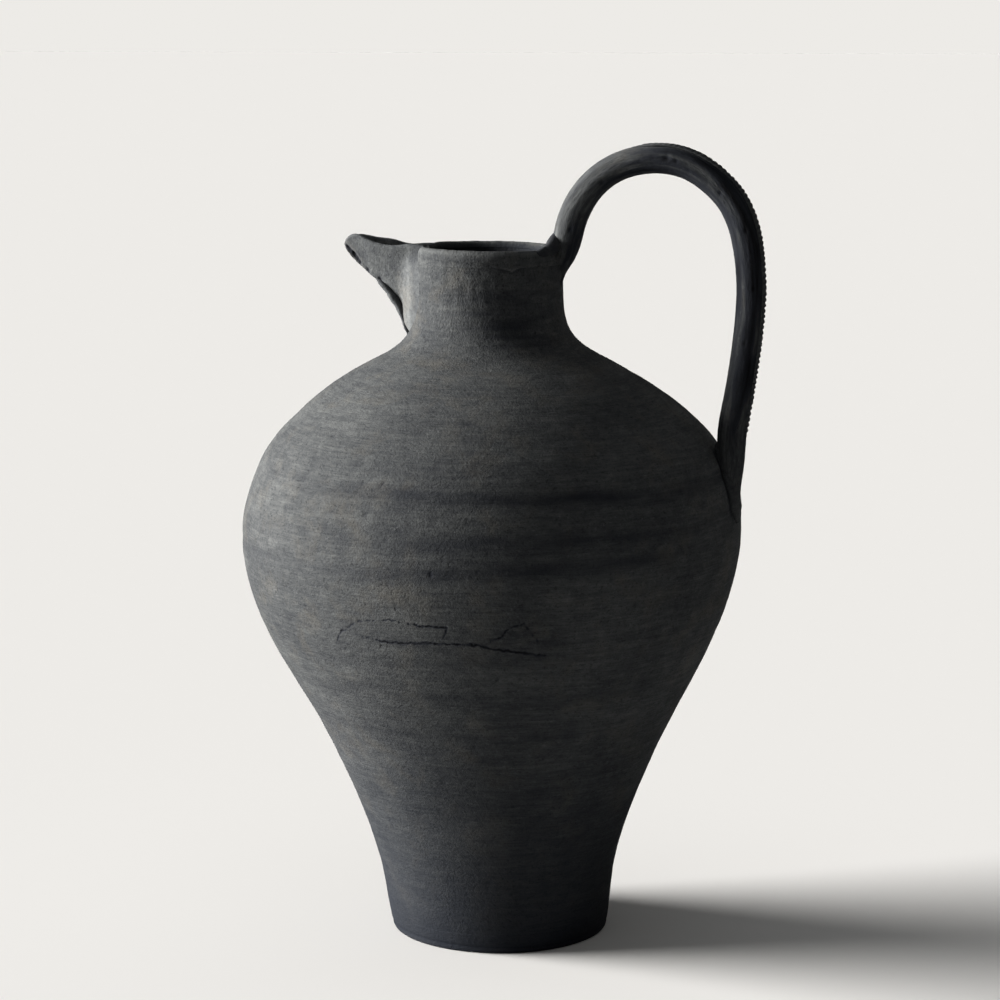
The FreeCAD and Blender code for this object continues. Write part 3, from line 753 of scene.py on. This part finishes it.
def tube(path, sides, cell, across=smooth_all_round):
    """Rings round a path in the plane y = 0, whose rows are x, z, half-thickness and half-width.

    across(turn, length) returns how far the surface stands out, as a share of the half-sizes.
    """
    sides = int(sides / COARSE)
    knots = np.concatenate([[0], np.cumsum(np.hypot(*np.diff(path[:, :2], axis=0).T))])
    length = spaced(0, knots[-1], cell)
    x, z, thick, wide = np.moveaxis(natural_spline(knots, path)(length), -1, 0)[..., None]
    run_x, run_z = np.gradient(x[:, 0], length), np.gradient(z[:, 0], length)
    size = np.hypot(run_x, run_z)[:, None]
    side_x, side_z = -run_z[:, None] / size, run_x[:, None] / size
    turn = np.linspace(0, 2 * math.pi, sides + 1)[None, :-1]
    share = across(turn, length[:, None])
    out = thick * np.cos(turn) * share
    rings = np.stack([x + side_x * out, -wide * np.sin(turn) * share, z + side_z * out], -1)
    flow = np.stack([thick * np.cos(turn) + 0 * share, thick * np.sin(turn) + 0 * share,
                     length[:, None] + 0 * turn], -1)
    return rings, flow, turn, length[:, None]


def make_keel_strip(name):
    """A thin coil pressed along the fold under the spout."""
    path = [
        (-42.6, 302.6, 0.5, 1.4), (-43.6, 308.0, 1.5, 3.6), (-44.9, 313.6, 2.2, 5.2),
        (-46.8, 318.8, 2.5, 5.9), (-49.8, 323.6, 2.5, 5.7), (-53.5, 328.3, 2.2, 4.9),
        (-56.8, 331.4, 1.6, 3.4), (-59.4, 333.4, 0.7, 1.4),
    ]
    rings, flow, _, _ = tube(turned(path), 56, 0.5)
    height = 0.22 * noise(rings, 3.5, 55) + 0.10 * noise(rings, 1.4, 56)
    piece = ring_piece(raised(rings, height), flow, 0.2 + 0 * height)
    make_piece(name, piece, spout_clay, [name])


# ---- handle

# The rod's middle (x, z) and its half-thickness, from the neck over the crown to the belly
ROD = [
    (31.2, 329.0, 2.2), (31.8, 336.0, 3.6), (33.9, 343.6, 5.7), (35.6, 350.4, 7.0), (36.9, 355.9, 7.2),
    (38.3, 361.4, 7.25), (40.4, 367.1, 7.25), (43.5, 373.0, 7.15), (48.0, 379.0, 7.05), (54.2, 384.6, 7.0),
    (61.2, 388.7, 7.0), (71.3, 391.9, 7.1), (82.0, 392.6, 7.15), (90.4, 391.5, 7.3), (97.8, 388.9, 7.3),
    (104.0, 385.3, 7.35), (110.2, 380.3, 7.35), (118.1, 371.3, 7.4), (123.5, 359.6, 7.4), (126.2, 348.0, 7.3),
    (128.0, 330.0, 7.05), (127.3, 311.8, 7.0), (125.4, 293.7, 7.0), (122.3, 273.2, 7.1), (119.9, 258.6, 7.2),
    (119.3, 249.0, 7.1), (118.9, 239.0, 6.9), (118.4, 229.0, 6.2), (119.3, 220.5, 5.0), (120.9, 213.0, 3.6),
]
# Pits in it: the way round it, the length along it, radius and depth
ROD_PITS = [(2.0, 60, 1.0, 0.5), (1.4, 96, 1.1, 0.6), (1.5, 101, 0.7, 0.5), (1.7, 128, 0.8, 0.5),
            (1.3, 150, 0.8, 0.4), (1.2, 178, 0.7, 0.4), (1.6, 205, 0.8, 0.4), (1.8, 30, 0.9, 0.4)]
# The strip down its back: the rod's places where it starts and ends, and how far apart its notches are
STRIP_START, STRIP_END, NOTCH_PITCH = 10.6, 24.9, 2.75


def rod_facets(turn, length):
    """The rod was rolled and pulled by hand: slightly faceted, with long shallow ridges."""
    swing = 0.35 * np.sin(length / 55)
    ridges = 0.014 * np.cos(5 * (turn + swing)) + 0.008 * np.cos(9 * turn - length / 40)
    return 1 + ridges + 0.012 * np.sin(length / 17 + 0.6) * np.cos(turn)


def make_rod(name):
    """The handle: one long rolled rod, looped from the neck over the crown and down to the belly."""
    path = turned([(x, z, r, r * 1.02) for x, z, r in ROD])
    rings, flow, turn, length = tube(path, 84, 0.8, rod_facets)
    height = 0.16 * noise(flow, (5, 5, 30), 61) + 0.10 * noise(flow, (2.2, 2.2, 16), 62)
    height += 0.05 * noise(flow, 1.4, 63)
    tone = np.zeros(height.shape)
    # The pits are darkened with painted shade
    for turn_at, at, radius, depth in ROD_PITS:
        away = ((turn - turn_at) * ROD_R) ** 2 + ((length - at) * 0.7) ** 2
        dent = np.exp(-away / radius ** 2)
        height -= depth * dent
        tone += dent
    x, z = rings[..., 0], rings[..., 2]
    drawn = 1 + 0.8 * noise(flow, (2.6, 2.6, 22), 64) + 0.5 * noise(flow, (1.0, 1.0, 8), 67)
    # Painted shade: the shadow that the left arm casts on the crown's right and on the right arm, the inner
    # side of the lower end, and the crown's inner side; the drawn streaks are the clay's own
    shade = smooth_step(52, 100, x) * smooth_step(238, 290, z) * bump(turn, 0.95, 1.1)
    tone += 1.45 * shade * drawn
    tone += 0.8 * smooth_step(258, 238, z) * smooth_step(-0.2, 0.8, -np.cos(turn)) * (x > 100)
    tone += 0.6 * (drawn - 1) + 0.25 * smooth_step(300, 340, z) * smooth_step(50, 95, x)
    tone += 0.8 * smooth_step(0.1, -0.8, np.cos(turn)) * smooth_step(300, 340, z) * drawn
    piece = ring_piece(raised(rings, height), flow, tone)
    make_piece(name, piece, handle_clay, [name])


def make_notched_strip(name):
    """A thin strip down the handle's back, pressed into notches."""
    count, sunk = 60, 0.45
    place = np.arange(count)
    at = np.linspace(STRIP_START, STRIP_END, count)
    x, z, r = natural_spline(np.arange(len(ROD)), turned(ROD))(at).T
    run_x, run_z = np.gradient(x), np.gradient(z)
    size = np.hypot(run_x, run_z)
    x, z = x - run_z / size * (r - sunk), z + run_x / size * (r - sunk)
    fade = smooth_step(0, 5, place) * smooth_step(count - 1, count - 5, place)
    path = np.stack([x, z, 0.25 + 0.95 * fade, 1.2 + 2.4 * fade], -1)
    rings, flow, turn, length = tube(path, 28, 0.28)
    skew = 0.9 * np.sin(turn)
    wander = 0.5 * np.sin(length / 13) + 0.35 * np.sin(length / 5.3 + 1)
    phase = (length + wander + skew) * 2 * math.pi / NOTCH_PITCH
    strength = 0.25 + 0.75 * smooth_step(25, 60, length)
    notch = strength * (0.5 + 0.5 * np.cos(phase)) ** 1.4
    face = smooth_step(-0.2, 0.5, np.cos(turn))
    height = -0.5 * notch * (1 + 0.5 * noise(flow, (9, 9, 5), 66))
    height = (height + 0.10 * noise(flow, (2, 2, 2.5), 65)) * face
    # The notches are darkened with painted shade
    piece = ring_piece(raised(rings, height), flow, 0.9 * notch * face)
    make_piece(name, piece, handle_clay, [name])


def make_heel_pad(name):
    """Clay smeared by hand over the rod's lower end, along a path of (x, z, half-thickness, half-width)."""
    path = [
        (112.4, 253.5, 0.4, 1.0), (113.4, 251.5, 1.6, 3.0), (115.2, 247.5, 2.8, 5.0),
        (117.3, 242.5, 3.5, 6.4), (119.4, 236.0, 3.9, 8.2), (121.3, 229.0, 3.5, 10.2),
        (122.9, 222.0, 2.6, 10.6), (124.0, 214.5, 1.1, 4.6),
    ]
    rings, flow, _, _ = tube(np.array(path), 72, 0.6)
    height = 0.25 * noise(rings, 4.5, 71) + 0.10 * noise(rings, 1.8, 72)
    piece = ring_piece(raised(rings, height), flow, 0.25 + 0 * height)
    make_piece(name, piece, luting_clay, [name])


def make_smear(name, course, seed, soot_and_shading):
    """Clay smeared round the neck's side on both sides of the handle.

    course rows are the angle from the handle in degrees, the middle's radius and height, and half the
    smear's thickness and height, from the handle outwards; the two sides are alike but for their lumps.
    """
    course = np.array([[-row[0], *row[1:]] for row in course[:0:-1]] + list(course), float)
    turn = spaced(course[0, 0], course[-1, 0], math.degrees(0.7 / RIM_R))
    radius, z, thick, tall = natural_spline(course[:, 0], course[:, 1:])(turn).T[..., None]
    angle = (HANDLE_ANGLE + np.radians(turn))[:, None]
    around = np.linspace(0, 2 * math.pi, int(56 / COARSE) + 1)[None, :-1]
    wiped = 1 - 0.75 * smooth_step(0, 1, -np.sin(around))
    r = radius + thick * np.cos(around) * wiped
    rings = round_axis(angle, r, z + tall * np.sin(around), lean_curve(z))
    height = 0.45 * noise(rings, (6, 6, 5), seed) + 0.2 * noise(rings, 2.2, seed + 1)
    height *= np.minimum(1, thick / 1.5) * wiped
    rings = raised(rings, height)
    make_piece(name, ring_piece(rings, rings, soot_and_shading + 0.5 * height), luting_clay, [name])


# The pad under the handle and the wad behind it on the lip, as make_smear takes them
NECK_PAD = [(0, 35.3, 336.5, 2.8, 10.0), (7, 35.3, 336.5, 2.6, 9.6), (13, 35.1, 336.8, 2.2, 8.4),
            (18, 34.9, 337.2, 1.7, 5.6), (22, 34.7, 337.5, 0.6, 1.6)]
RIM_WAD = [(0, 34.6, 350.5, 4.2, 6.3), (8, 34.8, 350.0, 4.1, 5.4), (15, 35.0, 348.9, 3.8, 4.4),
           (21, 35.2, 347.8, 3.4, 3.6), (26, 35.2, 347.2, 3.0, 3.2), (31, 35.1, 346.9, 2.6, 2.7),
           (36, 34.9, 346.7, 1.4, 1.6), (39, 34.8, 346.6, 0.5, 0.5)]


# ---- clay

class Graph:
    """A material's node tree, with short calls to add and join its nodes."""

    def __init__(self, name):
        self.material = bpy.data.materials.new(name)
        self.material.use_nodes = True
        self.tree = self.material.node_tree
        self.shader = next(n for n in self.tree.nodes if n.type == "BSDF_PRINCIPLED")

    def add(self, kind, **settings):
        node = self.tree.nodes.new(kind)
        for key, value in settings.items():
            setattr(node, key, value)
        return node

    def join(self, source, target):
        self.tree.links.new(source, target)

    def attribute(self, name, output):
        return self.add("ShaderNodeAttribute", attribute_name=name).outputs[output]

    def scaled(self, source, scale):
        mapping = self.add("ShaderNodeMapping")
        self.join(source, mapping.inputs["Vector"])
        mapping.inputs["Scale"].default_value = scale
        return mapping.outputs[0]

    def noise(self, source, scale, detail, roughness, distortion=0.0):
        node = self.add("ShaderNodeTexNoise")
        self.join(source, node.inputs["Vector"])
        values = {"Scale": scale, "Detail": detail, "Roughness": roughness, "Distortion": distortion}
        for key, value in values.items():
            node.inputs[key].default_value = value
        return node.outputs["Fac"]

    def spread(self, source, *edges):
        """A reading carried from one range to another: edges are low in, high in, low out and high out."""
        node = self.add("ShaderNodeMapRange")
        self.join(source, node.inputs["Value"])
        for key, value in zip(("From Min", "From Max", "To Min", "To Max"), edges):
            node.inputs[key].default_value = value
        return node.outputs[0]

    def math(self, operation, a, b):
        node = self.add("ShaderNodeMath", operation=operation)
        for socket, value in zip(node.inputs, (a, b)):
            if isinstance(value, (int, float)):
                socket.default_value = value
            else:
                self.join(value, socket)
        return node.outputs[0]

    def tint(self, base, factor, colour):
        node = self.add("ShaderNodeMix", data_type="RGBA")
        self.join(factor, node.inputs["Factor"])
        first, second = (socket for socket in node.inputs if socket.type == "RGBA")
        if isinstance(base, tuple):
            first.default_value = (*base, 1)
        else:
            self.join(base, first)
        second.default_value = (*colour, 1)
        return next(socket for socket in node.outputs if socket.type == "RGBA")

    def ramp(self, factor, stops):
        node = self.add("ShaderNodeValToRGB")
        self.join(factor, node.inputs[0])
        ramp = node.color_ramp
        while len(ramp.elements) < len(stops):
            ramp.elements.new(0.5)
        for element, (at, colour) in zip(ramp.elements, stops):
            element.position = at
            element.color = (*colour, 1)
        return node.outputs[0]

    def bump(self, height, distance, strength, below=None):
        node = self.add("ShaderNodeBump")
        self.join(height, node.inputs["Height"])
        node.inputs["Distance"].default_value = distance
        node.inputs["Strength"].default_value = strength
        if below is not None:
            self.join(below, node.inputs["Normal"])
        return node.outputs[0]


DARK, MIDDLE, LIGHT = (0.034, 0.036, 0.040), (0.068, 0.071, 0.072), (0.120, 0.123, 0.120)
WARM, SMOKE_AND_SHADE = (0.122, 0.112, 0.094), (0.0185, 0.0205, 0.0265)
BLACK, FOOT_SHADE = (0.005, 0.005, 0.006), (0.012, 0.0145, 0.021)


def smoked_clay(name, brightness, streak, lie, grain, shade_below=None):
    """Smoke-blackened clay: dull, with brushed streaks that follow the working, mottled grey, grit, smoke
    marks and painted shade.

    streak is how fine the streaks are each way, and lie stretches the mottling and the grit the way that the
    surface was brushed. Tone below zero is painted paler, as a painted highlight; above zero it darkens, as
    smoke marks and painted shade. The last argument, if given, is the two lengths up the pot between which
    the foot's painted shade fades out.
    """
    def toned(colour, share=1.0):
        return tuple(c * brightness * share for c in colour)

    g = Graph(name)
    flow = g.attribute("flow", "Vector")
    soot_and_shading = g.attribute("tone", "Fac")
    streaks = g.noise(g.scaled(flow, streak), 1.0, 4, 0.6, 0.2)
    wisps = g.noise(g.scaled(flow, tuple(v * 3.1 for v in streak)), 1.0, 3, 0.6)
    brushed = g.scaled(flow, lie)
    mottle = g.noise(brushed, 190, 5, 0.68, 0.3)
    patches = g.noise(flow, 24, 3, 0.55, 0.4)
    clouds = g.noise(flow, 7.5, 2, 0.5)
    specks = g.noise(brushed, 700, 2, 0.6)
    grit = g.noise(brushed, 1300, 2, 0.7)
    value = g.math("MULTIPLY", streaks, 0.19)
    for part, share in ((wisps, 0.21), (mottle, 0.24), (patches, 0.20), (clouds, 0.16)):
        value = g.math("ADD", value, g.math("MULTIPLY", part, share))
    colour = g.ramp(value, [(0.39, toned(DARK)), (0.50, toned(MIDDLE)), (0.62, toned(LIGHT))])
    # What shows, the readings at which it starts and is full, how strong it is then, and its colour
    for part, start, full, most, paint in (
            (g.noise(flow, 46, 4, 0.65, 0.3), 0.52, 0.72, 0.42, toned(WARM)),
            (specks, 0.60, 0.74, 0.35 * grain, toned(MIDDLE, 2.2)),
            (specks, 0.42, 0.30, 0.5 * grain, toned(DARK, 0.5)),
            (grit, 0.42, 0.30, 0.6 * grain, toned(DARK, 0.6)),
            # Tone below zero is a painted highlight; above zero it is smoke and painted shade, near black
            # where the painted shade is deepest, in cracks and creases
            (soot_and_shading, -0.05, -1.0, 0.8, toned(LIGHT, 1.5)),
            (soot_and_shading, 0.05, 1.2, 0.92, SMOKE_AND_SHADE),
            (soot_and_shading, 1.4, 2.8, 0.9, BLACK)):
        colour = g.tint(colour, g.spread(part, start, full, 0.0, most), paint)
    # Painted shade at the foot, fading out up the pot
    if shade_below:
        parts = g.add("ShaderNodeSeparateXYZ")
        g.join(flow, parts.inputs[0])
        colour = g.tint(colour, g.spread(parts.outputs["Z"], *shade_below, 0.9, 0.0), FOOT_SHADE)
    g.join(colour, g.shader.inputs["Base Color"])
    g.join(g.spread(patches, 0.35, 0.65, 0.92, 0.80), g.shader.inputs["Roughness"])
    g.shader.inputs["Specular IOR Level"].default_value = 0.1
    normal = None
    for part, distance, strength in ((streaks, 0.0003, 0.5), (wisps, 0.00012, 0.5), (mottle, 0.0003, 0.8),
                                     (specks, 0.00026, 0.9 * grain), (grit, 0.00026, 0.9 * grain)):
        normal = g.bump(part, distance, strength, normal)
    g.join(normal, g.shader.inputs["Normal"])
    return g.material


# The pot's clay gets painted shade towards its foot
pot_clay = smoked_clay("pot_clay", 1.0, (30, 30, 420), (0.8, 0.8, 1.1), 1.15, (0.0, 0.15))
neck_clay = smoked_clay("neck_clay", 0.94, (50, 50, 260), (1.1, 1.1, 0.85), 1.35)
# The spout's clay is made paler: painted light on its near wall
spout_clay = smoked_clay("spout_clay", 1.45, (90, 90, 120), (1.0, 1.0, 0.8), 0.9)
handle_clay = smoked_clay("handle_clay", 0.92, (300, 300, 28), (1.3, 1.3, 0.35), 1.0)
luting_clay = smoked_clay("luting_clay", 0.80, (90, 90, 90), (1.0, 1.0, 1.0), 1.0)

make_base("base_disc")
make_walls()
make_neck("neck_collar")
make_lip("rim_coil")
make_spout("spout")
make_keel_strip("spout_keel_strip")
make_rod("handle_rod")
make_notched_strip("handle_notched_strip")
make_heel_pad("handle_heel_pad")
make_smear("handle_neck_pad", NECK_PAD, 74, 0.35)
# The wad sits in the corner by the rod; its darker tone is painted shadow
make_smear("handle_rim_wad", RIM_WAD, 77, 0.8)


# ---- floor, light and camera

def make_floor():
    """A large plain pale sheet for the pot to stand on."""
    reach = 40.0
    mesh = bpy.data.meshes.new("floor")
    corners = [(-reach, -reach, 0), (reach, -reach, 0), (reach, reach, 0), (-reach, reach, 0)]
    mesh.from_pydata(corners, [], [(0, 1, 2, 3)])
    floor = placed("floor", mesh)
    g = Graph("pale_floor")
    # Flags round the set: less light bounces off the floor than the camera sees on it
    flagged = g.spread(g.add("ShaderNodeLightPath").outputs["Is Camera Ray"], 0, 1, 1, 0)
    colour = g.tint((0.824, 0.811, 0.790), flagged, (0.32, 0.32, 0.32))
    g.join(colour, g.shader.inputs["Base Color"])
    g.shader.inputs["Roughness"].default_value = 1.0
    g.shader.inputs["Specular IOR Level"].default_value = 0.0
    mesh.materials.append(g.material)


def in_view(right, away, up):
    """A place or direction given as the photograph shows it: to the right, away from the eye, and up."""
    sine, cosine = math.sin(VIEW), math.cos(VIEW)
    return Vector((right * cosine - away * sine, right * sine + away * cosine, up))


def far_light(name, toward_light, spread, strength, colour):
    """A soft light so large and far away that it lights the floor evenly."""
    data = bpy.data.lights.new(name, "SUN")
    data.angle = math.radians(spread)
    data.energy = strength
    data.color = colour
    light = placed(name, data)
    light.rotation_euler = in_view(*toward_light).to_track_quat("Z", "Y").to_euler()


def make_world():
    """A dim room, seen by the camera as the same pale tone as the floor."""
    world = bpy.data.worlds.new("studio")
    bpy.context.scene.world = world
    world.use_nodes = True
    tree = world.node_tree
    background = next(n for n in tree.nodes if n.type == "BACKGROUND")
    background.inputs["Color"].default_value = (0.941, 0.922, 0.887, 1)
    seen = tree.nodes.new("ShaderNodeLightPath")
    bright = tree.nodes.new("ShaderNodeMapRange")
    tree.links.new(seen.outputs["Is Camera Ray"], bright.inputs["Value"])
    bright.inputs["To Min"].default_value = 0.045
    bright.inputs["To Max"].default_value = 0.9
    tree.links.new(bright.outputs[0], background.inputs["Strength"])


def make_camera():
    """The photograph's view: in front, a little above the lip, looking slightly down."""
    data = bpy.data.cameras.new("camera")
    data.lens, data.sensor_width = 108, 36
    camera = placed("camera", data)
    camera.location = in_view(EYE_ASIDE * MM, -EYE_AWAY * MM, EYE_HEIGHT * MM)
    camera.rotation_euler = (math.pi / 2 - EYE_DIP, 0, VIEW)
    bpy.context.scene.camera = camera


make_floor()
make_world()
far_light("key", (-0.99, 0.12, 0.185), 36, 14.2, (1.0, 0.99, 0.975))
far_light("overhead", (0.0, 0.0, 1.0), 80, 0.40, (0.94, 0.97, 1.0))
far_light("edge", (0.75, 0.55, 0.25), 40, 0.08, (1.0, 0.93, 0.80))
make_camera()
bpy.context.scene.view_settings.view_transform = "Standard"
